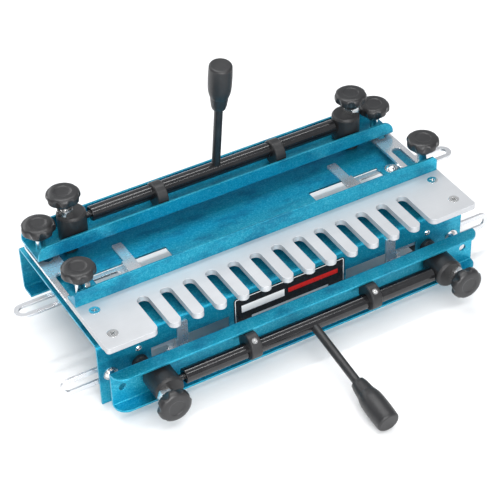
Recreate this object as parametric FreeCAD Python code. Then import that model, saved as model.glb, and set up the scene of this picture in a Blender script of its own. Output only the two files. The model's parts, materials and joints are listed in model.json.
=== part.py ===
import FreeCAD, Part
import math
import os

# Half-blind dovetail jig, 300 mm capacity, in millimetres.
# X runs along the jig, +Y to the rear, +Z up. The origin is the bench's top front edge,
# at the middle of the length: the rear foot stands on z = 0 and the apron hangs in front of y = 0.

# Base sheet
SHEET = 2.0
BASE_HALF = 188.5
TOP_Z = 48.5
APRON_BOTTOM_Z = -18.0
APRON_Y = -SHEET          # outer face of the apron
REAR_Y = 157.0
FOOT_DEPTH = 16.0
BEND = 2.0                # inside bend radius of the sheet
FOOT_HOLE_X = 150.0
FOOT_HOLE_R = 2.75

# Label, threaded bushes, anchor blocks and collars fixed to the base
LABEL_XS = (-56.0, 59.0)
LABEL_ZS = (3.0, 40.5)
LABEL_THICK = 0.5
LABEL_CORNER_R = 3.0
THREAD_BUSH_R = 8.0
THREAD_BUSH_LENGTH = 9.0
ANCHOR_HALF = 9.0
ANCHOR_DEPTH = 15.0
ANCHOR_SCREW_Z = 29.5
ANCHOR_SCREW_R = 1.5
ANCHOR_SCREW_LENGTH = 8.0
COLLAR_R = 7.5
COLLAR_HEIGHT = 7.0

# Side stops and the windows they move in
STOP_LINE_Y = 77.0        # top stops
STOP_LINE_Z = 14.0        # front stops, in line with the front clamp studs
TOP_WINDOW = (75.5, 151.5)
FRONT_WINDOW = (60.7, 138.3)
WINDOW_WIDTH = 20.0
STRAP_WIDTH = 18.0
STRAP_THICK = 2.2
STRAP_SLOT = 9.0
STOP_BAR_WIDTH = 10.0
TOP_STOP_HALF = 34.0
FRONT_STOP_HALF = 28.0
TOP_STOP_XS = {"left": (108.0, 228.0), "right": (110.5, 230.5)}      # inner and outer end
FRONT_STOP_XS = {"left": (103.0, 224.0), "right": (103.0, 222.3)}
SLIDE_GAP = 0.2           # working clearance of a stop against the sheet
LOCK_R = 3.0
TOP_LOCK_X = 162.5
FRONT_LOCK_X = 178.0

# Clamps: the same set of parts stands on the top plate and on the apron.
# A clamp's heights are counted from the bar's inner face.
UPPER_LINE_Y = 130.8
FRONT_LINE_Z = STOP_LINE_Z
UPPER_GAP = 11.5          # from the base to the bar's inner face
FRONT_GAP = 18.5
BAR_HALF = 187.0
BAR_WIDTH = 38.0
BAR_HEIGHT = 15.0
BAR_END_R = 11.8
BAR_HOLE_X = 176.6
BAR_HOLE_R = 3.5
POST_X = 144.5
POST_R = 13.5
POST_FOOT = SHEET + 1.4
POST_TOP = 28.6
POST_FACE_R = 12.0
POST_BAND = 2.1           # bevelled band round the face, with a fine groove below it
POST_GROOVE = 0.4
STUD_X = 150.0
STUD_R = 4.0
STUD_INSIDE = 26.0        # length of stud below the outer face of the sheet
RUNNING_GAP = 0.05
NUT_HEIGHT = 6.0
NUT_HALF_FLATS = 6.9
CAM_R = 12.7
CAM_THROW = 4.0
CAM_LENGTH = 10.5
CAM_XS = (-60.0, 64.0)
UPPER_LOBE = -45.0        # degrees from the bar to the lobe, lever at rest
FRONT_LOBE = 90.0
UPPER_SCREW_TURN = -45.0  # degrees from the bar to the set screws
FRONT_SCREW_TURN = 117.0
CAM_STANDOFF = 3.18       # bar to the base circle of the cams
SET_SCREW_R = 2.8
SET_SCREW_SINK = 0.8
TUBE_R = 7.0
TUBE_XS = (-126.5, 130.4)
JOURNAL_R = 3.0
JOURNAL_END = 143.6
AXIS_RISE = SHEET + CAM_R + CAM_STANDOFF
LEVER_X = 2.0
LEVER_LEAN = 9.0          # degrees towards the operator
LEVER_LENGTH = 126.0
GRIP_LENGTH = 50.0
GRIP_OVERLAP = 20.0       # length of rod inside the grip
ROD_R = 4.0

# Template comb: 7/8 inch spacing for a 7/16 inch guide bush
PITCH = 22.225
SLOTS = 13
SLOT_WIDTH = 11.2
COMB_HALF = 187.8
COMB_THICK = 5.6
COMB_FRONT_Y = -24.6
COMB_ROOT_Y = 21.7
COMB_REAR_Y = 54.0
COMB_SCREW_X = 174.5
COMB_SCREW_YS = (-7.8, 26.7)
COMB_SCREW_R = 2.4
COMB_SCREW_HEAD_R = 5.0
COMB_SCREW_SINK = 2.6
INNER_CORNER_R = 6.0
OUTER_CORNER_R = 3.0

# Template carrier: two arms under the comb, an angle strip on it, and four knobs
ARM_XS = (166.3, 187.0)
ARM_THICK = 3.0
ARM_TOP_Z = 57.0
ARM_YS = (-16.0, 148.0)
ARM_SLOT = 10.0
ARM_FRONT_SLOT_YS = (38.0, 94.0)
ARM_REAR_SLOT_YS = (113.0, 144.0)
FENCE_Y = 37.6
FENCE_HEIGHT = 15.8
FENCE_DEPTH = 16.0
FENCE_CORNER = 4.0
GUSSET_THICK = 1.6
RIVET_XS = (-140.0, -50.0, 50.0, 140.0)
RIVET_R = 3.0
CARRIER_STUD_Y = 47.5
CARRIER_STUD_R = 3.0
CARRIER_STUD_INSIDE = 22.0
SLEEVE_R = 4.4
FLANGE_R = 7.0
FLANGE_THICK = 1.5
FRONT_KNOB_RISE = 25.4    # arm to the hub of a front carrier knob
REAR_KNOB_RISE = 11.0      # bar to the hub of a rear carrier knob
BOLT_HEAD_R = 7.2
BOLT_HEAD_THICK = 2.2

# Star knobs: seven tapered scallops, deep at the underside and shallow at the crown
KNOB_R = 15.5
KNOB_HEIGHT = 15.5
KNOB_LOBES = 7
SCALLOP_AWAY = 18.0
SCALLOP_FOOT_R = 7.6
SCALLOP_CROWN_R = 2.7
HUB_R = 7.5
CROWN_DISC_R = 7.0
CROWN_SINK = 0.6
KNOB_SOCKET = 10.0
KNOB_LIFTS = {"upper_left": 2.7}    # knobs that stand clear of their lock nut

SIDES = {"left": -1, "right": 1}
X_AXIS = FreeCAD.Vector(1, 0, 0)
Y_AXIS = FreeCAD.Vector(0, 1, 0)
Z_AXIS = FreeCAD.Vector(0, 0, 1)


def vec(x, y, z):
    return FreeCAD.Vector(x, y, z)


def save(name, *shapes):
    """Write one sub-part; several separate solids go out as one compound."""
    solids = [solid for shape in shapes for solid in shape.Solids]
    whole = solids[0] if len(solids) == 1 else Part.makeCompound(solids)
    whole.exportStep("parts/%s.step" % name)


def box(xs, ys, zs):
    low = vec(min(xs), min(ys), min(zs))
    return Part.makeBox(abs(xs[1] - xs[0]), abs(ys[1] - ys[0]), abs(zs[1] - zs[0]), low)


def rod(radius, start, axis, length):
    return Part.makeCylinder(radius, length, start, axis)


def dome(radius, low, high):
    """Arc of a spherical cap from (radius, low) to (0, high), as its middle point and its end."""
    rise = high - low
    sphere_r = (radius ** 2 + rise ** 2) / (2 * rise)
    half_angle = math.asin(min(1.0, radius / sphere_r)) / 2
    middle_z = high - sphere_r * (1 - math.cos(half_angle))
    return sphere_r * math.sin(half_angle), middle_z, 0, high


def rim(radius, top, round_r):
    """Quarter arc from (radius, top - round_r) to (radius - round_r, top)."""
    inset = round_r * (1 - math.sqrt(0.5))
    return radius - inset, top - inset, radius - round_r, top


def turned(outline, centre=None):
    """Revolve (radius, height) points about Z; an item of four numbers is an arc's middle and end."""
    edges = []
    last = vec(outline[0][0], 0, outline[0][1])
    for item in outline[1:]:
        if len(item) == 4:
            middle = vec(item[0], 0, item[1])
            end = vec(item[2], 0, item[3])
            edges.append(Part.Arc(last, middle, end).toShape())
        else:
            end = vec(item[0], 0, item[1])
            edges.append(Part.makeLine(last, end))
        last = end
    edges.append(Part.makeLine(last, vec(outline[0][0], 0, outline[0][1])))
    solid = Part.Face(Part.Wire(edges)).revolve(vec(0, 0, 0), Z_AXIS, 360)
    solid = Part.makeSolid(solid) if solid.ShapeType != "Solid" else solid
    if centre is not None:
        solid.translate(centre)
    return solid


def slot_cut(xs, ys, zs, along):
    """A round-ended slot through zs, running along X or Y."""
    width = abs(ys[1] - ys[0]) if along == "x" else abs(xs[1] - xs[0])
    radius = width / 2
    height = abs(zs[1] - zs[0])
    if along == "x":
        middle = (ys[0] + ys[1]) / 2
        ends = (vec(min(xs) + radius, middle, min(zs)), vec(max(xs) - radius, middle, min(zs)))
        core = box((min(xs) + radius, max(xs) - radius), ys, zs)
    else:
        middle = (xs[0] + xs[1]) / 2
        ends = (vec(middle, min(ys) + radius, min(zs)), vec(middle, max(ys) - radius, min(zs)))
        core = box(xs, (min(ys) + radius, max(ys) - radius), zs)
    return core.fuse([rod(radius, end, Z_AXIS, height) for end in ends]).removeSplitter()


def fillet_near(shape, radius, test):
    return shape.makeFillet(radius, [edge for edge in shape.Edges if test(edge)])


def is_along(edge, axis):
    if not isinstance(edge.Curve, (Part.Line, Part.LineSegment)):
        return False
    return abs(edge.tangentAt(edge.FirstParameter).dot(axis)) > 0.999


def profile_along_x(points, half):
    """Extrude a closed (y, z) outline from -half to half."""
    wire = Part.makePolygon([vec(-half, y, z) for y, z in points + points[:1]])
    return Part.Face(wire).extrude(vec(2 * half, 0, 0))


def fillet_corners(shape, corners, radius):
    """Round the edges along X that pass through the given (y, z) corners."""
    def at_corner(edge):
        centre = edge.CenterOfMass
        return is_along(edge, X_AXIS) and any(
            abs(centre.y - y) < 0.01 and abs(centre.z - z) < 0.01 for y, z in corners)
    return fillet_near(shape, radius, at_corner)


# Frames of the two clamp sites: local Y runs across the bar and local Z away from the base.
TOP_SITE = FreeCAD.Placement(vec(0, 0, TOP_Z), FreeCAD.Rotation())
APRON_SITE = FreeCAD.Placement(vec(0, APRON_Y, 0), FreeCAD.Rotation(X_AXIS, 90))


def placed(shape, site, across):
    """Move a shape from a site's local frame, with its centre line at 'across', into the jig."""
    moved = shape.copy()
    moved.translate(vec(0, across, 0))
    moved.Placement = site.multiply(moved.Placement)
    return moved


def base_frame():
    outer_top = TOP_Z
    inner_top = TOP_Z - SHEET
    rear_in = REAR_Y - SHEET
    foot_y = REAR_Y - FOOT_DEPTH
    outline = [
        (APRON_Y, APRON_BOTTOM_Z), (APRON_Y, outer_top), (REAR_Y, outer_top), (REAR_Y, 0),
        (foot_y, 0), (foot_y, SHEET), (rear_in, SHEET), (rear_in, inner_top),
        (0, inner_top), (0, APRON_BOTTOM_Z)]
    shell = profile_along_x(outline, BASE_HALF)
    shell = fillet_corners(shell, [(APRON_Y, outer_top), (REAR_Y, outer_top), (REAR_Y, 0)], BEND + SHEET)
    shell = fillet_corners(shell, [(0, inner_top), (rear_in, inner_top), (rear_in, SHEET)], BEND)

    through_top = (TOP_Z - 2 * SHEET, TOP_Z + SHEET)
    half_window = WINDOW_WIDTH / 2
    cuts = []
    for side in (-1, 1):
        window = [side * x for x in TOP_WINDOW]
        cuts.append(box(window, (STOP_LINE_Y - half_window, STOP_LINE_Y + half_window), through_top))
        window = [side * x for x in FRONT_WINDOW]
        cuts.append(box(window, (APRON_Y - 1, 1), (STOP_LINE_Z - half_window, STOP_LINE_Z + half_window)))
        for x, y, radius in (
                (STUD_X, UPPER_LINE_Y, STUD_R + RUNNING_GAP),
                (BAR_HOLE_X, CARRIER_STUD_Y, CARRIER_STUD_R + RUNNING_GAP),
                (TOP_LOCK_X, STOP_LINE_Y, LOCK_R)):
            cuts.append(rod(radius, vec(side * x, y, through_top[0]), Z_AXIS, 4 * SHEET))
        for x, z, radius in (
                (STUD_X, FRONT_LINE_Z, STUD_R + RUNNING_GAP),
                (STUD_X, ANCHOR_SCREW_Z, ANCHOR_SCREW_R),
                (FRONT_LOCK_X, STOP_LINE_Z, LOCK_R)):
            cuts.append(rod(radius, vec(side * x, APRON_Y - 1, z), Y_AXIS, 2 * SHEET))
        foot_middle = REAR_Y - FOOT_DEPTH / 2
        cuts.append(rod(FOOT_HOLE_R, vec(side * FOOT_HOLE_X, foot_middle - 1, -1), Z_AXIS, 2 * SHEET))
    return shell.cut(cuts).removeSplitter()


def front_label():
    plate = box(LABEL_XS, (APRON_Y - LABEL_THICK, APRON_Y), LABEL_ZS)
    return fillet_near(plate, LABEL_CORNER_R, lambda edge: is_along(edge, Y_AXIS))


def stud_collar():
    """Collar round a stud, standing on the sheet: a wide foot and a tapered neck."""
    bore = STUD_R + RUNNING_GAP
    foot = 0.45 * COLLAR_HEIGHT
    return turned([
        (bore, 0), (COLLAR_R, 0), (COLLAR_R, foot), (COLLAR_R - 0.6, foot + 0.6),
        (COLLAR_R - 1.6, COLLAR_HEIGHT), (bore, COLLAR_HEIGHT)])


def thread_bush(hole):
    """Round threaded bush under the top plate."""
    top = -SHEET
    return turned([
        (hole, top - THREAD_BUSH_LENGTH), (THREAD_BUSH_R - 1, top - THREAD_BUSH_LENGTH),
        (THREAD_BUSH_R, top - THREAD_BUSH_LENGTH + 1), (THREAD_BUSH_R, top), (hole, top)])


def front_anchor(side):
    """Block behind the apron: its head is screwed to the sheet and its body stands clear of the strap."""
    clear = STRAP_THICK + 3 * SLIDE_GAP
    xs = (side * (STUD_X - ANCHOR_HALF), side * (STUD_X + ANCHOR_HALF))
    strap_top = STOP_LINE_Z + STRAP_WIDTH / 2 + 0.5
    head = box(xs, (0, ANCHOR_DEPTH), (strap_top, ANCHOR_SCREW_Z + 5))
    body = box(xs, (clear, ANCHOR_DEPTH), (FRONT_LINE_Z - ANCHOR_HALF, strap_top))
    block = head.fuse(body).removeSplitter()
    stud_hole = rod(STUD_R + RUNNING_GAP, vec(side * STUD_X, -1, FRONT_LINE_Z), Y_AXIS, ANCHOR_DEPTH + 2)
    screw_hole = rod(ANCHOR_SCREW_R, vec(side * STUD_X, -1, ANCHOR_SCREW_Z), Y_AXIS, ANCHOR_SCREW_LENGTH)
    return block.cut([stud_hole, screw_hole])


def cross_recess(radius, depth):
    """Two crossed blades, cut into a screw head from z = 0 down."""
    half = radius * 0.16
    blade = box((-radius, radius), (-half, half), (-depth, 1))
    crossing = box((-half, half), (-radius, radius), (-depth, 1))
    return blade.fuse(crossing)


def pan_screw(length, shank, head_r, head_h):
    """Pan-head screw, its head standing on local z = 0."""
    side_h = 0.35 * head_h
    head = turned([(0, 0), (head_r, 0), (head_r, side_h), dome(head_r, side_h, head_h)])
    recess = cross_recess(head_r * 0.55, head_h * 0.6)
    recess.translate(vec(0, 0, head_h))
    return head.fuse(rod(shank, vec(0, 0, -length), Z_AXIS, length)).cut(recess).removeSplitter()


def lock_bolt():
    """Domed lock bolt of a side stop: washer, dome and shank through sheet and strap, nut behind."""
    washer_r = 6.6
    washer_h = 0.9
    head_r = 5.2
    head_h = 4.2
    side_h = washer_h + 0.8
    shank_end = SHEET + STRAP_THICK + 2 * SLIDE_GAP
    nut_h = 4.0
    nut_half_flats = 5.0
    head = turned([
        (0, 0), (washer_r, 0), (washer_r, washer_h), (head_r, washer_h), (head_r, side_h),
        dome(head_r, side_h, head_h)])
    shank = rod(LOCK_R, vec(0, 0, -shank_end), Z_AXIS, shank_end)
    nut = hex_prism(nut_half_flats, nut_h)
    nut.translate(vec(0, 0, -shank_end - nut_h))
    return head.fuse([shank, nut]).removeSplitter()


def hex_prism(half_flats, height, chamfer=0.6):
    corner = half_flats / math.cos(math.radians(30))
    points = [vec(corner * math.cos(math.radians(60 * k)), corner * math.sin(math.radians(60 * k)), 0)
              for k in range(7)]
    prism = Part.Face(Part.makePolygon(points)).extrude(vec(0, 0, height))
    bevel = turned([
        (0, 0), (corner - chamfer, 0), (corner, chamfer * 0.58), (corner, height - chamfer * 0.58),
        (corner - chamfer, height), (0, height)])
    return prism.common(bevel)


def side_stop(side, inner, outer, half_bar):
    """Slotted strap behind the sheet, a step through the window and the stop bar on the face."""
    step_x = inner + STOP_BAR_WIDTH
    half_strap = STRAP_WIDTH / 2
    strap_top = -SHEET - SLIDE_GAP
    face_top = SLIDE_GAP + STRAP_THICK
    strap = box((step_x, outer), (-half_strap, half_strap), (strap_top - STRAP_THICK, strap_top))
    strap = fillet_near(
        strap, half_strap - 0.01,
        lambda edge: is_along(edge, Z_AXIS) and abs(edge.CenterOfMass.x - outer) < 0.01)
    rail = (STRAP_WIDTH - STRAP_SLOT) / 2
    slot = slot_cut((step_x + STRAP_THICK + rail, outer - rail), (-STRAP_SLOT / 2, STRAP_SLOT / 2),
                    (strap_top - 2 * STRAP_THICK, strap_top + 1), "x")
    step = box((step_x, step_x + STRAP_THICK), (-half_strap, half_strap), (strap_top - STRAP_THICK, face_top))
    bar = box((inner, step_x), (-half_bar, half_bar), (SLIDE_GAP, face_top))
    bar = fillet_near(bar, 1.5, lambda edge: is_along(edge, Z_AXIS))
    stop = strap.cut(slot).fuse([step, bar]).removeSplitter()
    return stop if side > 0 else stop.mirror(vec(0, 0, 0), X_AXIS)


def clamp_bar(gap):
    """Channel with its web towards the work and rounded flange ends."""
    half = BAR_WIDTH / 2
    web_top = gap + SHEET
    tip = gap + BAR_HEIGHT
    outline = [
        (-half, gap), (half, gap), (half, tip), (half - SHEET, tip), (half - SHEET, web_top),
        (-half + SHEET, web_top), (-half + SHEET, tip), (-half, tip)]
    bar = profile_along_x(outline, BAR_HALF)
    bar = fillet_corners(bar, [(-half, gap), (half, gap)], BEND + 0.5)
    bar = fillet_corners(bar, [(-half + SHEET, web_top), (half - SHEET, web_top)], 1.0)

    def flange_end(edge):
        centre = edge.CenterOfMass
        return (is_along(edge, Y_AXIS) and abs(centre.z - tip) < 0.01
                and abs(abs(centre.x) - BAR_HALF) < 0.01)
    bar = fillet_near(bar, BAR_END_R, flange_end)
    cuts = []
    for side in (-1, 1):
        cuts.append(rod(STUD_R + 0.5, vec(side * STUD_X, 0, gap - 1), Z_AXIS, 2 * SHEET))
        cuts.append(rod(BAR_HOLE_R, vec(side * BAR_HOLE_X, 0, gap - 1), Z_AXIS, 2 * SHEET))
    return bar.cut(cuts)


def post(side, gap):
    """Round post block: bored along its side for the stud and from the inside for the cam shaft."""
    band = POST_TOP - POST_BAND
    groove_r = POST_R - POST_GROOVE
    block = turned([
        (0, POST_FOOT), (POST_R, POST_FOOT), (POST_R, band - POST_GROOVE), (groove_r, band - POST_GROOVE),
        (groove_r, band), (POST_R - 0.1, band + 0.2), (POST_FACE_R, POST_TOP), (0, POST_TOP)],
        vec(side * POST_X, 0, 0))
    stud_hole = rod(STUD_R + RUNNING_GAP, vec(side * STUD_X, 0, 0), Z_AXIS, POST_TOP + 1)
    bore_start = POST_X - POST_R - 1
    bore_length = JOURNAL_END + 0.4 - bore_start
    bore = rod(JOURNAL_R + RUNNING_GAP, vec(side * bore_start, 0, AXIS_RISE), vec(side, 0, 0), bore_length)
    block = block.cut([stud_hole, bore])
    block.translate(vec(0, 0, gap))
    return block


def lock_nut(side, gap):
    nut = hex_prism(NUT_HALF_FLATS, NUT_HEIGHT).cut(rod(STUD_R, vec(0, 0, -1), Z_AXIS, NUT_HEIGHT + 2))
    nut.rotate(vec(0, 0, 0), Z_AXIS, 11)
    nut.translate(vec(side * STUD_X, 0, gap + POST_TOP))
    return nut


def star_knob(bore_r, bore_depth):
    """Seven-lobed knob, its hub face on local z = 0, with a disc sunk in a flat crown."""
    crown = KNOB_HEIGHT
    body = turned([
        (0, 0), (HUB_R, 0), (KNOB_R - 1.5, 6.0), (KNOB_R - 0.35, 6.9, KNOB_R, 8.5), (KNOB_R, crown - 3.5),
        (KNOB_R - 0.6, crown - 1.8, KNOB_R - 2.4, crown - 0.6), (KNOB_R - 4.0, crown),
        (CROWN_DISC_R + 0.6, crown), (CROWN_DISC_R, crown - CROWN_SINK), (0, crown - CROWN_SINK)])
    scallops = []
    for k in range(KNOB_LOBES):
        angle = 2 * math.pi * (k + 0.5) / KNOB_LOBES
        foot = vec(SCALLOP_AWAY * math.cos(angle), SCALLOP_AWAY * math.sin(angle), -1)
        scallops.append(Part.makeCone(SCALLOP_FOOT_R, SCALLOP_CROWN_R, crown + 2, foot, Z_AXIS))
    body = body.cut(scallops)
    return body.cut(rod(bore_r, vec(0, 0, -1), Z_AXIS, bore_depth + 1))


def clamp_knob(side, gap, lift):
    knob = star_knob(STUD_R, KNOB_SOCKET)
    knob.rotate(vec(0, 0, 0), Z_AXIS, 9 * side)
    knob.translate(vec(side * STUD_X, 0, gap + POST_TOP + NUT_HEIGHT + lift))
    return knob


def clamp_stud(side, gap, lift):
    top = gap + POST_TOP + NUT_HEIGHT + lift + KNOB_SOCKET
    stud = rod(STUD_R, vec(side * STUD_X, 0, -STUD_INSIDE), Z_AXIS, top + STUD_INSIDE)
    inner_end = [edge for edge in stud.Edges if abs(edge.CenterOfMass.z + STUD_INSIDE) < 0.01]
    return stud.makeChamfer(0.7, inner_end)


def cam_tube(gap):
    """Cam shaft: a round bar turned down at both ends for the posts, with a socket for the lever."""
    axis_z = gap + AXIS_RISE
    shaft = rod(TUBE_R, vec(TUBE_XS[0], 0, axis_z), X_AXIS, TUBE_XS[1] - TUBE_XS[0])
    shaft = shaft.makeChamfer(0.5, [edge for edge in shaft.Edges if len(edge.Vertexes) == 1])
    journal = rod(JOURNAL_R, vec(-JOURNAL_END, 0, axis_z), X_AXIS, 2 * JOURNAL_END)
    return shaft.fuse(journal).cut(lever_rod(gap)).removeSplitter()


def lobe_way(lobe):
    """Unit vector from the cam shaft's axis towards the lobe."""
    angle = math.radians(lobe)
    return vec(0, math.sin(angle), -math.cos(angle))


def cam(x, gap, lobe, screw_turn):
    """Eccentric collar: bored off centre for the shaft, with a radial hole for its set screw."""
    axis = vec(x, 0, gap + AXIS_RISE)
    along = X_AXIS * (CAM_LENGTH / 2)
    disc = rod(CAM_R, axis - along + lobe_way(lobe) * CAM_THROW, X_AXIS, CAM_LENGTH)
    disc = disc.makeChamfer(0.9, [edge for edge in disc.Edges if len(edge.Vertexes) == 1])
    shaft_bore = rod(TUBE_R, axis - along * 2, X_AXIS, 2 * CAM_LENGTH)
    screw_hole = rod(SET_SCREW_R, axis, lobe_way(screw_turn), CAM_R + 2 * CAM_THROW)
    return disc.cut([shaft_bore, screw_hole])


def set_screw(x, gap, lobe, screw_turn):
    """Socket set screw in a cam, from the shaft to just under the cam's surface."""
    apart = math.radians(screw_turn - lobe)
    surface = CAM_THROW * math.cos(apart) + math.sqrt(CAM_R ** 2 - (CAM_THROW * math.sin(apart)) ** 2)
    length = surface - TUBE_R - SET_SCREW_SINK
    screw = rod(SET_SCREW_R, vec(0, 0, TUBE_R), Z_AXIS, length)
    socket_depth = 2.0
    socket = hex_prism(SET_SCREW_R * 0.5, socket_depth + 1, 0.1)
    socket.translate(vec(0, 0, TUBE_R + length - socket_depth))
    screw = screw.cut(socket)
    screw.rotate(vec(0, 0, 0), X_AXIS, 180 + screw_turn)
    screw.translate(vec(x, 0, gap + AXIS_RISE))
    return screw


def along_lever(shape, gap):
    """Stand a shape made along local +Z on the cam shaft's axis, leaning with the lever."""
    moved = shape.copy()
    moved.rotate(vec(0, 0, 0), X_AXIS, LEVER_LEAN)
    moved.translate(vec(LEVER_X, 0, gap + AXIS_RISE))
    return moved


def lever_rod(gap):
    end = LEVER_LENGTH - GRIP_LENGTH + GRIP_OVERLAP
    return along_lever(rod(ROD_R, vec(0, 0, 0), Z_AXIS, end), gap)


def lever_grip(gap):
    """Club-shaped grip, thickest near its flat outer end, pushed over the end of the rod."""
    foot = LEVER_LENGTH - GRIP_LENGTH
    seat = foot + GRIP_OVERLAP
    end_r = 10.6
    end_round = 2.5
    grip = turned([
        (ROD_R, foot), (5.6, foot), (6.3, foot + 0.3, 6.6, foot + 1.2), (7.3, foot + 4.0), (8.6, foot + 14.0),
        (9.8, foot + 18.0, end_r, foot + 23.0), (end_r + 0.35, foot + 34.0, end_r, LEVER_LENGTH - end_round),
        rim(end_r, LEVER_LENGTH, end_round), (0, LEVER_LENGTH), (0, seat), (ROD_R, seat)])
    return along_lever(grip, gap)


def comb_template():
    plate = box((-COMB_HALF, COMB_HALF), (COMB_FRONT_Y, COMB_REAR_Y), (ARM_TOP_Z, ARM_TOP_Z + COMB_THICK))
    through = (ARM_TOP_Z - 1, ARM_TOP_Z + COMB_THICK + 1)
    half = (SLOTS - 1) / 2
    slots = []
    for k in range(SLOTS):
        x = (k - half) * PITCH
        xs = (x - SLOT_WIDTH / 2, x + SLOT_WIDTH / 2)
        slots.append(slot_cut(xs, (COMB_FRONT_Y - 2 * SLOT_WIDTH, COMB_ROOT_Y), through, "y"))
    plate = plate.cut(slots)

    outer_slot = half * PITCH + SLOT_WIDTH / 2

    def front_corner(low, high):
        def test(edge):
            centre = edge.CenterOfMass
            return (is_along(edge, Z_AXIS) and abs(centre.y - COMB_FRONT_Y) < 0.01
                    and low < abs(centre.x) < high)
        return test
    finger_r = (PITCH - SLOT_WIDTH) / 2 - 0.02
    plate = fillet_near(plate, finger_r, front_corner(0, outer_slot - 0.5))
    plate = fillet_near(plate, INNER_CORNER_R, front_corner(outer_slot - 0.5, outer_slot + 0.5))
    plate = fillet_near(plate, OUTER_CORNER_R, front_corner(COMB_HALF - 0.5, COMB_HALF + 0.5))
    cuts = []
    for side in (-1, 1):
        cuts.append(carrier_notch(side))
        for y in COMB_SCREW_YS:
            cuts.append(countersunk_form(vec(side * COMB_SCREW_X, y, ARM_TOP_Z + COMB_THICK)))
    return plate.cut(cuts)


def carrier_notch(side):
    """Room round a front carrier stud, open to the rear of the comb and the fence."""
    half = FLANGE_R + 0.6
    xs = (side * (BAR_HOLE_X - half), side * (BAR_HOLE_X + half))
    return box(xs, (FENCE_Y + SHEET, COMB_REAR_Y + 10), (ARM_TOP_Z - 1, ARM_TOP_Z + COMB_THICK + SHEET + 1))


def countersunk_form(top):
    """Outer form of a countersunk screw, its flat head ending at 'top'."""
    depth = COMB_THICK + ARM_THICK
    return turned([
        (0, -depth), (COMB_SCREW_R, -depth), (COMB_SCREW_R, -COMB_SCREW_SINK), (COMB_SCREW_HEAD_R, 0),
        (0, 0)], top)


def comb_screws():
    screws = []
    for side in (-1, 1):
        for y in COMB_SCREW_YS:
            top = vec(side * COMB_SCREW_X, y, ARM_TOP_Z + COMB_THICK)
            recess = cross_recess(2.6, 1.8)
            recess.rotate(vec(0, 0, 0), Z_AXIS, 31 + y)
            recess.translate(top)
            screws.append(countersunk_form(top).cut(recess))
    return screws


def template_arm(side):
    xs = (side * ARM_XS[0], side * ARM_XS[1])
    zs = (ARM_TOP_Z - ARM_THICK, ARM_TOP_Z)
    through = (zs[0] - 1, zs[1] + 1)
    arm = fillet_near(box(xs, ARM_YS, zs), 4.0, lambda edge: is_along(edge, Z_AXIS))
    slot_xs = (side * BAR_HOLE_X - ARM_SLOT / 2, side * BAR_HOLE_X + ARM_SLOT / 2)
    cuts = [slot_cut(slot_xs, ys, through, "y") for ys in (ARM_FRONT_SLOT_YS, ARM_REAR_SLOT_YS)]
    for y in COMB_SCREW_YS:
        cuts.append(rod(COMB_SCREW_R, vec(side * COMB_SCREW_X, y, through[0]), Z_AXIS, ARM_THICK + 2))
    return arm.cut(cuts)


def template_fence():
    """Angle strip across the comb: upright in front, leg to the rear, small gussets at the ends."""
    foot = ARM_TOP_Z + COMB_THICK
    top = foot + FENCE_HEIGHT
    half = COMB_HALF - 1.0
    rear = FENCE_Y + FENCE_DEPTH
    outline = [
        (FENCE_Y, foot), (rear, foot), (rear, foot + SHEET), (FENCE_Y + SHEET, foot + SHEET),
        (FENCE_Y + SHEET, top), (FENCE_Y, top)]
    angle = profile_along_x(outline, half)

    def top_corner(edge):
        centre = edge.CenterOfMass
        return is_along(edge, Y_AXIS) and abs(centre.z - top) < 0.01
    angle = angle.makeChamfer(FENCE_CORNER, [edge for edge in angle.Edges if top_corner(edge)])
    angle = angle.cut([carrier_notch(-1), carrier_notch(1)])
    gussets = []
    for side in (-1, 1):
        outer = side * half
        inner_y = FENCE_Y + SHEET
        corner = [(inner_y, foot + SHEET), (rear - 1, foot + SHEET), (inner_y, top - FENCE_CORNER)]
        wire = Part.makePolygon([vec(outer, y, z) for y, z in corner + corner[:1]])
        gussets.append(Part.Face(wire).extrude(vec(-side * GUSSET_THICK, 0, 0)))
    return angle.fuse(gussets).removeSplitter()


def fence_rivets():
    rivets = []
    for x in RIVET_XS:
        head = turned([(0, 0), (RIVET_R, 0), dome(RIVET_R, 0, 0.6 * RIVET_R)])
        head.translate(vec(x, FENCE_Y + 0.55 * FENCE_DEPTH, ARM_TOP_Z + COMB_THICK + SHEET))
        rivets.append(head)
    return rivets


def carrier_knob(side, y, hub_z):
    knob = star_knob(CARRIER_STUD_R, KNOB_SOCKET)
    knob.rotate(vec(0, 0, 0), Z_AXIS, 20 * side)
    knob.translate(vec(side * BAR_HOLE_X, y, hub_z))
    return knob


def front_carrier_stud(side):
    """Screw of a front carrier knob: flanged sleeve on the arm, thread down into the base."""
    hub_z = ARM_TOP_Z + FRONT_KNOB_RISE
    low = TOP_Z - CARRIER_STUD_INSIDE
    flange_top = ARM_TOP_Z + FLANGE_THICK
    top = hub_z + KNOB_SOCKET
    stud = turned([
        (0, low), (CARRIER_STUD_R - 0.5, low), (CARRIER_STUD_R, low + 0.5), (CARRIER_STUD_R, ARM_TOP_Z),
        (FLANGE_R, ARM_TOP_Z), (FLANGE_R, flange_top), (SLEEVE_R, flange_top), (SLEEVE_R, hub_z),
        (CARRIER_STUD_R, hub_z), (CARRIER_STUD_R, top), (0, top)])
    stud.translate(vec(side * BAR_HOLE_X, CARRIER_STUD_Y, 0))
    return stud


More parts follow.
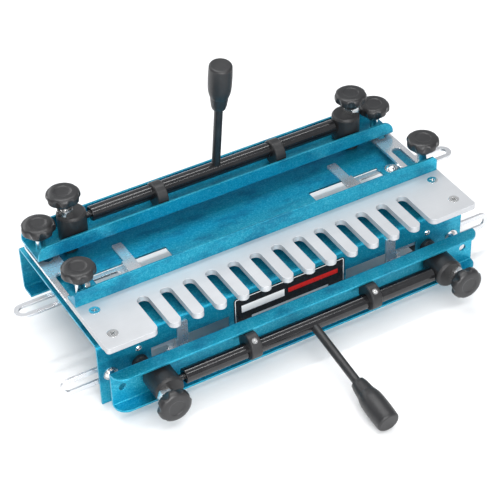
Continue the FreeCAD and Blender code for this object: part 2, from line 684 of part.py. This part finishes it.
def rear_carrier_bolt(side):
    """Bolt of a rear carrier knob: sleeve on the bar, round head under the arm."""
    web_top = TOP_Z + UPPER_GAP + SHEET
    hub_z = web_top + REAR_KNOB_RISE
    under = ARM_TOP_Z - ARM_THICK
    low = under - BOLT_HEAD_THICK
    top = hub_z + KNOB_SOCKET
    bolt = turned([
        (0, low), (BOLT_HEAD_R - 0.8, low), (BOLT_HEAD_R, low + 0.8), (BOLT_HEAD_R, under),
        (CARRIER_STUD_R, under), (CARRIER_STUD_R, web_top), (SLEEVE_R, web_top), (SLEEVE_R, hub_z),
        (CARRIER_STUD_R, hub_z), (CARRIER_STUD_R, top), (0, top)])
    bolt.translate(vec(side * BAR_HOLE_X, UPPER_LINE_Y, 0))
    return bolt


def carrier_spacers():
    """Rings between the clamp bar and the arms, one at each end."""
    bore = BAR_HOLE_R
    under_bar = TOP_Z + UPPER_GAP
    spacers = []
    for side in (-1, 1):
        ring = turned([(bore, ARM_TOP_Z), (FLANGE_R, ARM_TOP_Z), (FLANGE_R, under_bar), (bore, under_bar)])
        ring.translate(vec(side * BAR_HOLE_X, UPPER_LINE_Y, 0))
        spacers.append(ring)
    return spacers


def save_clamp(prefix, site, across, gap, lobe, screw_turn):
    """One clamp: bar, posts, cam shaft with its lever, and the adjusting knobs on their studs."""
    def keep(name, *shapes):
        save("%s_%s" % (prefix, name), *[placed(shape, site, across) for shape in shapes])
    keep("clamp_bar", clamp_bar(gap))
    keep("cam_shaft", cam_tube(gap))
    keep("cam_set_screws", *[set_screw(x, gap, lobe, screw_turn) for x in CAM_XS])
    keep("lever_rod", lever_rod(gap))
    keep("lever_grip", lever_grip(gap))
    keep("stud_collars", *[moved_x(stud_collar(), side * STUD_X) for side in SIDES.values()])
    for (word, side), cam_x in zip(SIDES.items(), CAM_XS):
        lift = KNOB_LIFTS.get("%s_%s" % (prefix, word), 0.0)
        keep("cam_%s" % word, cam(cam_x, gap, lobe, screw_turn))
        keep("post_%s" % word, post(side, gap))
        keep("lock_nut_%s" % word, lock_nut(side, gap))
        keep("knob_%s" % word, clamp_knob(side, gap, lift))
        keep("stud_%s" % word, clamp_stud(side, gap, lift))


def moved_x(shape, x):
    moved = shape.copy()
    moved.translate(vec(x, 0, 0))
    return moved


def save_base():
    save("base_frame", base_frame())
    save("front_label", front_label())
    for word, side in SIDES.items():
        save("front_anchor_%s" % word, front_anchor(side))
    screws = [moved_x(pan_screw(ANCHOR_SCREW_LENGTH, ANCHOR_SCREW_R, 2.9, 1.9), side * STUD_X)
              for side in SIDES.values()]
    save("front_anchor_screws", *[placed(screw, APRON_SITE, ANCHOR_SCREW_Z) for screw in screws])
    bushes = []
    for side in SIDES.values():
        for radius, x, y in ((STUD_R, STUD_X, UPPER_LINE_Y), (CARRIER_STUD_R, BAR_HOLE_X, CARRIER_STUD_Y)):
            bush = moved_x(thread_bush(radius + RUNNING_GAP), side * x)
            bushes.append(placed(bush, TOP_SITE, y))
    save("thread_bushes", *bushes)
    bolts = [moved_x(lock_bolt(), side * TOP_LOCK_X) for side in SIDES.values()]
    save("top_stop_bolts", *[placed(bolt, TOP_SITE, STOP_LINE_Y) for bolt in bolts])
    bolts = [moved_x(lock_bolt(), side * FRONT_LOCK_X) for side in SIDES.values()]
    save("front_stop_bolts", *[placed(bolt, APRON_SITE, STOP_LINE_Z) for bolt in bolts])


def save_stops():
    for word, side in SIDES.items():
        stop = side_stop(side, *TOP_STOP_XS[word], TOP_STOP_HALF)
        save("top_stop_%s" % word, placed(stop, TOP_SITE, STOP_LINE_Y))
        stop = side_stop(side, *FRONT_STOP_XS[word], FRONT_STOP_HALF)
        save("front_stop_%s" % word, placed(stop, APRON_SITE, STOP_LINE_Z))


def save_template():
    save("comb_template", comb_template())
    save("comb_screws", *comb_screws())
    save("template_fence", template_fence())
    save("fence_rivets", *fence_rivets())
    save("carrier_spacers", *carrier_spacers())
    rear_hub = TOP_Z + UPPER_GAP + SHEET + REAR_KNOB_RISE
    for word, side in SIDES.items():
        save("template_arm_%s" % word, template_arm(side))
        save("carrier_knob_%s" % word, carrier_knob(side, CARRIER_STUD_Y, ARM_TOP_Z + FRONT_KNOB_RISE))
        save("carrier_stud_%s" % word, front_carrier_stud(side))
        save("rear_knob_%s" % word, carrier_knob(side, UPPER_LINE_Y, rear_hub))
        save("rear_bolt_%s" % word, rear_carrier_bolt(side))


def main():
    os.makedirs("parts", exist_ok=True)
    save_base()
    save_stops()
    save_clamp("upper", TOP_SITE, UPPER_LINE_Y, UPPER_GAP, UPPER_LOBE, UPPER_SCREW_TURN)
    save_clamp("front", APRON_SITE, FRONT_LINE_Z, FRONT_GAP, FRONT_LOBE, FRONT_SCREW_TURN)
    save_template()


main()
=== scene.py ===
import json
import math

import bpy
from mathutils import Matrix, Vector


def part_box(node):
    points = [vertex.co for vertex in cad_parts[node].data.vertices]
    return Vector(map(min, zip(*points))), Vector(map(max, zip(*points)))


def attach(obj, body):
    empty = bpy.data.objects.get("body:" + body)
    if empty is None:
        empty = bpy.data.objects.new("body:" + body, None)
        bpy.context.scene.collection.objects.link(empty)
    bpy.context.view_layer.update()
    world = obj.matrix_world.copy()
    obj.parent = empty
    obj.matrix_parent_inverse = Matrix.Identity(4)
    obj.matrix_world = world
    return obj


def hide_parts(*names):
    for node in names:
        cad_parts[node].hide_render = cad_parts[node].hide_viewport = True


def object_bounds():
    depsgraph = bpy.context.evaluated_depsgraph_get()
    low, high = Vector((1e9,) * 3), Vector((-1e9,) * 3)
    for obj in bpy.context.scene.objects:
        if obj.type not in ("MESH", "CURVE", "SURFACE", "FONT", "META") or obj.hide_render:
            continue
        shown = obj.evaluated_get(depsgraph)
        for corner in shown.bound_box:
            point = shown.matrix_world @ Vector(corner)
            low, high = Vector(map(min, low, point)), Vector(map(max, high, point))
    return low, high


# Looks of the dovetail jig, in metres, in the CAD model's frame:
# +X along the jig to the operator's right, +Y to the rear, +Z up.
MM = 0.001

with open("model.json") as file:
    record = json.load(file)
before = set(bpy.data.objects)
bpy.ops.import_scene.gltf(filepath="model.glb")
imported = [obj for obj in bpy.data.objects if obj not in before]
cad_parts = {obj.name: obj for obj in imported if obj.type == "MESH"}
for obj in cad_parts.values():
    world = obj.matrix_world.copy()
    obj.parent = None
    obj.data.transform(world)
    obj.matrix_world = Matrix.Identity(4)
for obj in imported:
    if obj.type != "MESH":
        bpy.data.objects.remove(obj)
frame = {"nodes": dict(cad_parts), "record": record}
NODES = frame["nodes"]
CAD_BOX = [list(corner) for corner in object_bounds()]


# ---------------------------------------------------------------- node helpers

class Graph:
    """Short way to write a material's nodes."""

    def __init__(self, name):
        self.mat = bpy.data.materials.new(name)
        self.mat.use_nodes = True
        self.tree = self.mat.node_tree
        self.shader = self.tree.nodes["Principled BSDF"]
        self.coords = self.tree.nodes.new("ShaderNodeTexCoord").outputs["Object"]

    def put(self, socket, value):
        if isinstance(value, bpy.types.NodeSocket):
            self.tree.links.new(value, socket)
        else:
            socket.default_value = value

    def set(self, **values):
        for key, value in values.items():
            self.put(self.shader.inputs[key.replace("_", " ")], value)

    def node(self, kind, out=0, inputs=(), **props):
        made = self.tree.nodes.new(kind)
        for key, value in props.items():
            setattr(made, key, value)
        for key, value in dict(inputs).items():
            self.put(made.inputs[key], value)
        return made.outputs[out]

    def math(self, operation, first, second=0.0):
        return self.node("ShaderNodeMath", inputs={0: first, 1: second}, operation=operation)

    def stretched(self, scale):
        return self.node("ShaderNodeMapping", inputs={"Vector": self.coords, "Scale": scale})

    def noise(self, scale, detail=3.0, rough=0.55, coords=None):
        return self.node("ShaderNodeTexNoise", "Fac", inputs={
            "Vector": coords or self.coords, "Scale": scale, "Detail": detail, "Roughness": rough})

    def cells(self, scale):
        """A random grey per cell, such as a flake."""
        colour = self.node("ShaderNodeTexVoronoi", "Color", inputs={"Vector": self.coords, "Scale": scale})
        return self.node("ShaderNodeSeparateColor", "Red", inputs={0: colour})

    def ramp(self, value, *stops):
        """Map a grey to colours; each stop is (position, colour)."""
        made = self.tree.nodes.new("ShaderNodeValToRGB")
        elements = made.color_ramp.elements
        while len(elements) < len(stops):
            elements.new(0.5)
        for element, (position, colour) in zip(elements, stops):
            element.position = position
            element.color = (*colour, 1) if len(colour) == 3 else colour
        self.put(made.inputs["Fac"], value)
        return made.outputs["Color"]

    def span(self, value, low, high, to_low, to_high):
        return self.node("ShaderNodeMapRange", inputs={
            "Value": value, "From Min": low, "From Max": high, "To Min": to_low, "To Max": to_high})

    def blend(self, factor, first, second, mode="MIX"):
        made = self.tree.nodes.new("ShaderNodeMix")
        made.data_type = "RGBA"
        made.blend_type = mode
        self.put(made.inputs["Factor"], factor)
        self.put(made.inputs[6], first)
        self.put(made.inputs[7], second)
        return made.outputs[2]

    def edges(self, radius):
        """Rounded edge normal, and a mask that is 1 on the edge."""
        round_normal = self.node("ShaderNodeBevel", inputs={"Radius": radius}, samples=6)
        flat_normal = self.node("ShaderNodeNewGeometry", "Normal")
        dot = self.node("ShaderNodeVectorMath", "Value", inputs={0: round_normal, 1: flat_normal},
                        operation="DOT_PRODUCT")
        mask = self.span(dot, 0.995, 0.80, 0.0, 1.0)
        return round_normal, mask

    def bump(self, height, strength, depth, normal=None):
        inputs = {"Height": height, "Strength": strength, "Distance": depth}
        if normal is not None:
            inputs["Normal"] = normal
        return self.node("ShaderNodeBump", inputs=inputs)


def grey(value):
    return (value, value, value, 1)


# ---------------------------------------------------------------- materials

def hammered_paint():
    """Teal metallic paint with fine flakes and cloudy streaks; the edges are lightened, part wear and part
    painted highlight.
    """
    g = Graph("blue_hammered")
    flakes = g.cells(1300)
    speckle = g.noise(520, 4, 0.65)
    clouds = g.noise(1, 5, 0.6, g.stretched((26, 60, 60)))
    mixed = g.math("ADD", g.math("MULTIPLY", flakes, 0.3), g.math("MULTIPLY", speckle, 0.7))
    colour = g.ramp(mixed, (0.2, (0.001, 0.24, 0.38)), (0.5, (0.006, 0.34, 0.50)), (0.8, (0.08, 0.49, 0.62)))
    tone = g.ramp(clouds, (0.36, (0.50, 0.62, 0.70)), (0.5, (0.92, 0.94, 0.96)), (0.66, (1.0, 1.0, 1.0)))
    colour = g.blend(1.0, colour, tone, "MULTIPLY")
    normal, edge = g.edges(0.5 * MM)
    # Edges lightened towards light teal: part wear, part a painted highlight along the bends.
    wear_and_painted_highlight = g.math("MULTIPLY", edge, g.span(g.noise(240, 3), 0.42, 0.62, 0.15, 0.6))
    colour = g.blend(wear_and_painted_highlight, colour, (0.16, 0.52, 0.62, 1))
    g.set(Base_Color=colour, Metallic=0.7, Roughness=g.span(clouds, 0.3, 0.7, 0.40, 0.30),
          Coat_Weight=0.12, Coat_Roughness=0.15,
          Normal=g.bump(g.noise(420, 3, 0.6), 0.16, 0.2 * MM, normal))
    return g.mat


def brushed_aluminium():
    """Satin comb plate: fine lines along its length, small scuffs, and edges lightened, part wear and part
    painted highlight.
    """
    g = Graph("aluminium")
    lines = g.noise(1, 4, 0.7, g.stretched((14, 2600, 2600)))
    clouds = g.noise(22, 3)
    colour = g.ramp(lines, (0.25, (0.44, 0.45, 0.465)), (0.75, (0.53, 0.54, 0.555)))
    colour = g.blend(0.5, colour, g.ramp(clouds, (0.3, (0.44, 0.45, 0.465)), (0.7, (0.55, 0.56, 0.575))))
    normal, edge = g.edges(0.45 * MM)
    # Lightened edges: part wear, part painted highlight.
    colour = g.blend(g.math("MULTIPLY", edge, 0.5), colour, grey(0.85))
    g.set(Base_Color=colour, Metallic=0.4, Roughness=g.span(lines, 0.3, 0.7, 0.42, 0.55),
          Normal=g.bump(lines, 0.10, 0.1 * MM, normal))
    return g.mat


def zinc_plate():
    """Bright zinc with a soft haze."""
    g = Graph("zinc")
    haze = g.noise(45, 4, 0.6)
    colour = g.ramp(haze, (0.3, (0.67, 0.68, 0.70)), (0.7, (0.72, 0.73, 0.75)))
    normal, edge = g.edges(0.35 * MM)
    # Lightened edges: part wear, part painted highlight.
    colour = g.blend(g.math("MULTIPLY", edge, 0.5), colour, grey(0.92))
    g.set(Base_Color=colour, Metallic=0.85, Roughness=g.span(haze, 0.3, 0.7, 0.26, 0.29),
          Normal=g.bump(g.noise(500, 2), 0.05, 0.08 * MM, normal))
    return g.mat


def bright_steel():
    """Nickel-plated screws, nuts and studs."""
    g = Graph("bright_steel")
    haze = g.noise(160, 3)
    colour = g.ramp(haze, (0.3, (0.66, 0.66, 0.66)), (0.7, (0.82, 0.82, 0.81)))
    normal, edge = g.edges(0.25 * MM)
    # Lightened edges: part wear, part painted highlight.
    colour = g.blend(g.math("MULTIPLY", edge, 0.5), colour, grey(0.93))
    g.set(Base_Color=colour, Metallic=1.0, Roughness=g.span(haze, 0.3, 0.7, 0.14, 0.24), Normal=normal)
    return g.mat


def black_gloss():
    """Gloss black stove enamel of the cam shafts."""
    g = Graph("black_gloss")
    haze = g.noise(60, 4)
    colour = g.ramp(haze, (0.3, (0.004, 0.004, 0.005)), (0.7, (0.010, 0.010, 0.011)))
    normal, edge = g.edges(0.4 * MM)
    # Lightened edges: part wear, part painted highlight.
    colour = g.blend(g.math("MULTIPLY", edge, 0.3), colour, grey(0.06))
    g.set(Base_Color=colour, Roughness=g.span(haze, 0.3, 0.7, 0.12, 0.18), Specular_IOR_Level=0.6,
          Normal=g.bump(g.noise(300, 2), 0.04, 0.1 * MM, normal))
    return g.mat


def black_matte():
    """Black oxide of posts, cams and lever rods, and the grips' moulded skin."""
    g = Graph("black_matte")
    grain = g.noise(1400, 3, 0.7)
    haze = g.noise(60, 3)
    colour = g.ramp(haze, (0.3, (0.010, 0.010, 0.011)), (0.7, (0.019, 0.019, 0.020)))
    normal, edge = g.edges(0.5 * MM)
    # Lightened edges: part wear, part painted highlight.
    colour = g.blend(g.math("MULTIPLY", edge, 0.3), colour, grey(0.07))
    g.set(Base_Color=colour, Roughness=g.span(grain, 0.3, 0.7, 0.34, 0.46), Specular_IOR_Level=0.45,
          Normal=g.bump(grain, 0.12, 0.12 * MM, normal))
    return g.mat


def black_knob():
    """Moulded phenolic of the star knobs: satin, faintly pebbled."""
    g = Graph("black_knob")
    grain = g.noise(900, 3, 0.6)
    haze = g.noise(70, 3)
    colour = g.ramp(haze, (0.3, (0.010, 0.010, 0.011)), (0.7, (0.018, 0.018, 0.019)))
    g.set(Base_Color=colour, Roughness=g.span(grain, 0.3, 0.7, 0.28, 0.42), Specular_IOR_Level=0.5,
          Normal=g.bump(grain, 0.12, 0.15 * MM))
    return g.mat


def printed_label():
    """Dark film with a thin light border and plain coloured bars; nothing is written on it."""
    g = Graph("label")
    low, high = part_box("front_label")
    middle = (low + high) / 2
    half = (high - low) / 2
    corner = 3 * MM
    xyz = g.node("ShaderNodeSeparateXYZ", inputs={0: g.coords}).node
    x = g.math("SUBTRACT", xyz.outputs["X"], middle.x)
    z = g.math("SUBTRACT", xyz.outputs["Z"], middle.z)
    across_x = g.math("ABSOLUTE", x)
    over_x = g.math("MAXIMUM", g.math("SUBTRACT", across_x, half.x - corner), 0.0)
    over_z = g.math("MAXIMUM", g.math("SUBTRACT", g.math("ABSOLUTE", z), half.z - corner), 0.0)
    squares = g.math("ADD", g.math("MULTIPLY", over_x, over_x), g.math("MULTIPLY", over_z, over_z))
    inside = g.math("SUBTRACT", corner, g.math("SQRT", squares))

    def band(value, start, end):
        over = g.math("GREATER_THAN", value, start * MM)
        return g.math("MULTIPLY", over, g.math("LESS_THAN", value, end * MM))

    white_bar = g.math("MULTIPLY", band(z, 1.0, 9.0), band(x, -50, -6))
    red_bar = g.math("MULTIPLY", band(z, 3.2, 8.2), band(x, -2, 50))
    rule = g.math("MULTIPLY", band(z, -8.4, -5.8), band(x, -40, 40))
    film = g.ramp(g.noise(300, 2), (0.3, (0.008, 0.008, 0.009)), (0.7, (0.012, 0.012, 0.013)))
    colour = g.blend(band(inside, 1.0, 1.7), film, grey(0.7))
    colour = g.blend(white_bar, colour, grey(0.78))
    colour = g.blend(red_bar, colour, (0.50, 0.015, 0.012, 1))
    colour = g.blend(rule, colour, grey(0.7))
    g.set(Base_Color=colour, Roughness=g.span(g.noise(400, 2), 0.3, 0.7, 0.26, 0.36), Specular_IOR_Level=0.4)
    return g.mat


MATERIALS = {
    "blue_hammered": hammered_paint(), "aluminium": brushed_aluminium(), "zinc": zinc_plate(),
    "bright_steel": bright_steel(), "black_gloss": black_gloss(), "black_matte": black_matte(),
    "black_knob": black_knob(), "label": printed_label()}


def dress_cad():
    """Give every CAD node its slot's material; the lever rods are duller than the shafts."""
    for part in frame["record"]["subparts"]:
        name = part["node"]
        finish = "black_matte" if name.endswith("lever_rod") else part["material_slot"]
        data = NODES[name].data
        data.materials.clear()
        data.materials.append(MATERIALS[finish])


# ---------------------------------------------------------------- pieces that replace CAD nodes

def add_piece(name, verts, faces, material, body, replaced, angle=40):
    mesh = bpy.data.meshes.new(name)
    mesh.from_pydata(verts, [], faces)
    mesh.validate()
    mesh.shade_smooth()
    mesh.set_sharp_from_angle(angle=math.radians(angle))
    mesh.materials.append(MATERIALS[material])
    piece = bpy.data.objects.new(name, mesh)
    bpy.context.scene.collection.objects.link(piece)
    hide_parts(replaced)
    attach(piece, body)
    return piece


def axis_frame(origin, outward, turn=0.0):
    """Matrix that stands local +Z on 'outward' at 'origin'."""
    quat = Vector((0, 0, 1)).rotation_difference(outward)
    return Matrix.Translation(origin) @ quat.to_matrix().to_4x4() @ Matrix.Rotation(turn, 4, "Z")


def grid_faces(rows, columns):
    faces = []
    for r in range(rows - 1):
        for c in range(columns):
            d = (c + 1) % columns
            faces.append((r * columns + c, r * columns + d, (r + 1) * columns + d, (r + 1) * columns + c))
    return faces


# Star knob outline from the hub to the crown, (radius, height) in mm
KNOB_OUTLINE = [
    (7.0, 0.0), (7.4, 0.15), (7.8, 0.5), (9.6, 2.4), (11.6, 4.2), (13.4, 5.6), (14.4, 6.5), (15.1, 7.5),
    (15.45, 8.6), (15.5, 10.2), (15.45, 11.6), (15.2, 12.8), (14.6, 13.8), (13.7, 14.6), (12.6, 15.1),
    (11.3, 15.4), (9.8, 15.5), (8.2, 15.5), (7.7, 15.42), (7.3, 15.05), (7.0, 14.92), (5.0, 14.88),
    (2.5, 14.86)]
KNOB_LOBES = 7
KNOB_COLUMNS = 24 * KNOB_LOBES
SCALLOP_AWAY = 18.0
SCALLOP_FOOT_R = 7.3
SCALLOP_TAPER = 0.28
LOBE_ROUND = 1.5
LOBE_ROUND_FROM_R = 9.0
CLAMP_KNOB_TURN = 9
CARRIER_KNOB_TURN = 20
KNOB_CREASE = 50

# Rolled thread of the clamp studs
THREAD_PITCH = 1.25 * MM
THREAD_DEPTH = 0.55 * MM
THREAD_COLUMNS = 28
THREAD_ROWS_PER_TURN = 8
THREAD_END_TAPER = 0.9 * MM
THREAD_CREASE = 60


def smooth_min(a, b, k):
    h = max(k - abs(a - b), 0.0) / k
    return min(a, b) - h * h * k / 4


def knob_radius(radius, height, angle):
    """Radius of the scalloped knob at an angle counted from the middle of a lobe."""
    step = 2 * math.pi / KNOB_LOBES
    apart = (angle % step) - step / 2
    scallop = SCALLOP_FOOT_R - SCALLOP_TAPER * height
    off = SCALLOP_AWAY * math.sin(apart)
    if abs(off) >= scallop:
        limit = SCALLOP_AWAY * math.cos(apart) + (abs(off) - scallop)
    else:
        limit = SCALLOP_AWAY * math.cos(apart) - math.sqrt(scallop ** 2 - off ** 2)
    return smooth_min(radius, limit, LOBE_ROUND) if radius > LOBE_ROUND_FROM_R else min(radius, limit)


def star_knob(node, body, hub, outward, turn):
    place = axis_frame(hub, outward, turn)
    verts = []
    for radius, height in KNOB_OUTLINE:
        for c in range(KNOB_COLUMNS):
            angle = 2 * math.pi * c / KNOB_COLUMNS
            r = knob_radius(radius, height, angle) * MM
            verts.append(place @ Vector((r * math.cos(angle), r * math.sin(angle), height * MM)))
    faces = grid_faces(len(KNOB_OUTLINE), KNOB_COLUMNS)
    last = (len(KNOB_OUTLINE) - 1) * KNOB_COLUMNS
    faces.append(tuple(reversed(range(KNOB_COLUMNS))))
    faces.append(tuple(range(last, last + KNOB_COLUMNS)))
    return add_piece("look_" + node, verts, faces, "black_knob", body, node, KNOB_CREASE)


def threaded_stud(node, body, outward):
    """Stud with a rolled right-hand thread and turned ends."""
    low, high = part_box(node)
    size = high - low
    length = max(size)
    radius = min(size) / 2
    centre = (low + high) / 2
    place = axis_frame(centre - outward * (length / 2), outward)
    columns = THREAD_COLUMNS
    rows = int(length / THREAD_PITCH * THREAD_ROWS_PER_TURN) + 1
    verts = []
    for row in range(rows):
        height = length * row / (rows - 1)
        ends = min(height, length - height)
        outer = min(radius, radius - THREAD_END_TAPER + ends)
        for c in range(columns):
            phase = (height / THREAD_PITCH - c / columns) % 1.0
            groove = max(0.0, 1.0 - abs(phase - 0.5) * 2.6)
            r = outer - THREAD_DEPTH * min(1.0, groove * 1.25)
            angle = 2 * math.pi * c / columns
            verts.append(place @ Vector((r * math.cos(angle), r * math.sin(angle), height)))
    faces = grid_faces(rows, columns)
    faces.append(tuple(reversed(range(columns))))
    faces.append(tuple(range((rows - 1) * columns, rows * columns)))
    return add_piece("look_" + node, verts, faces, "bright_steel", body, node, THREAD_CREASE)


def knob_hub(node, outward):
    """Centre of a knob's hub face: the middle of its box, at the end that faces the jig."""
    low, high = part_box(node)
    size = high - low
    depth = min(size)
    return (low + high) / 2 - outward * (depth / 2)


UP = Vector((0, 0, 1))
FRONT = Vector((0, -1, 0))


def add_knobs_and_studs():
    for side, sign in (("left", -1), ("right", 1)):
        for clamp, outward in (("upper", UP), ("front", FRONT)):
            knob = "%s_knob_%s" % (clamp, side)
            body = "%s_screw_%s" % (clamp, side)
            star_knob(knob, body, knob_hub(knob, outward), outward, math.radians(CLAMP_KNOB_TURN * sign))
            threaded_stud("%s_stud_%s" % (clamp, side), body, outward)
        for kind in ("carrier", "rear"):
            knob = "%s_knob_%s" % (kind, side)
            body = "%s_screw_%s" % (kind, side)
            star_knob(knob, body, knob_hub(knob, UP), UP, math.radians(CARRIER_KNOB_TURN * sign))


# ---------------------------------------------------------------- studio

def add_floor():
    """Pale sweep under the jig, a hair below its lowest point."""
    size = 4.0
    level = CAD_BOX[0][2] - 0.2 * MM
    mesh = bpy.data.meshes.new("floor")
    mesh.from_pydata([(-size, -size, level), (size, -size, level), (size, size, level), (-size, size, level)],
                     [], [(0, 1, 2, 3)])
    g = Graph("floor")
    colour = g.ramp(g.noise(3, 2), (0.3, (0.86, 0.86, 0.86)), (0.7, (0.88, 0.88, 0.88)))
    g.set(Base_Color=colour, Roughness=0.9)
    mesh.materials.append(g.mat)
    floor = bpy.data.objects.new("floor", mesh)
    bpy.context.scene.collection.objects.link(floor)


def area_light(name, place, target, size, energy, colour=(1, 1, 1)):
    light = bpy.data.lights.new(name, "AREA")
    light.shape = "RECTANGLE"
    light.size, light.size_y = size
    light.energy = energy
    light.color = colour
    lamp = bpy.data.objects.new(name, light)
    lamp.location = place
    lamp.rotation_euler = (Vector(target) - Vector(place)).to_track_quat("-Z", "Y").to_euler()
    bpy.context.scene.collection.objects.link(lamp)


def add_lights():
    world = bpy.data.worlds.new("studio")
    world.use_nodes = True
    background = world.node_tree.nodes["Background"]
    background.inputs["Color"].default_value = (0.95, 0.97, 1.0, 1)
    background.inputs["Strength"].default_value = 0.6
    bpy.context.scene.world = world
    centre = (0, 0.05, 0.04)
    area_light("front_key", (-0.4, -1.4, 0.6), centre, (1.2, 0.8), 23)
    area_light("overhead", (-0.2, 0.1, 1.5), centre, (1.6, 1.2), 8)
    area_light("crest_strip", (0, 0.35, 1.4), centre, (1.5, 0.12), 7)
    area_light("brow_strip", (-0.1, -0.75, 1.2), centre, (1.5, 0.1), 6)
    area_light("rear_strip", (-0.5, 1.1, 0.75), centre, (1.4, 0.25), 5)


def add_camera():
    """Camera fitted to the real object's view: long lens, high, from the front left."""
    camera = bpy.data.objects.new("camera", bpy.data.cameras.new("camera"))
    place = Vector((-0.584524, -1.001647, 1.012576))
    right = Vector((0.84843811, -0.52929408, -0.00074238))
    up = Vector((0.33750749, 0.53993006, 0.77107991))
    back = Vector((-0.40772719, -0.65446414, 0.63673796))
    rotation = Matrix((right, up, back)).transposed().to_4x4()
    camera.matrix_world = Matrix.Translation(place) @ rotation
    camera.data.sensor_width = 36
    camera.data.lens = 122.487
    camera.data.shift_x = -0.149657
    camera.data.shift_y = 0.028746
    camera.data.clip_start = 0.05
    bpy.context.scene.collection.objects.link(camera)
    bpy.context.scene.camera = camera


dress_cad()
add_knobs_and_studs()
add_floor()
add_lights()
add_camera()
bpy.context.scene.view_settings.view_transform = "Standard"
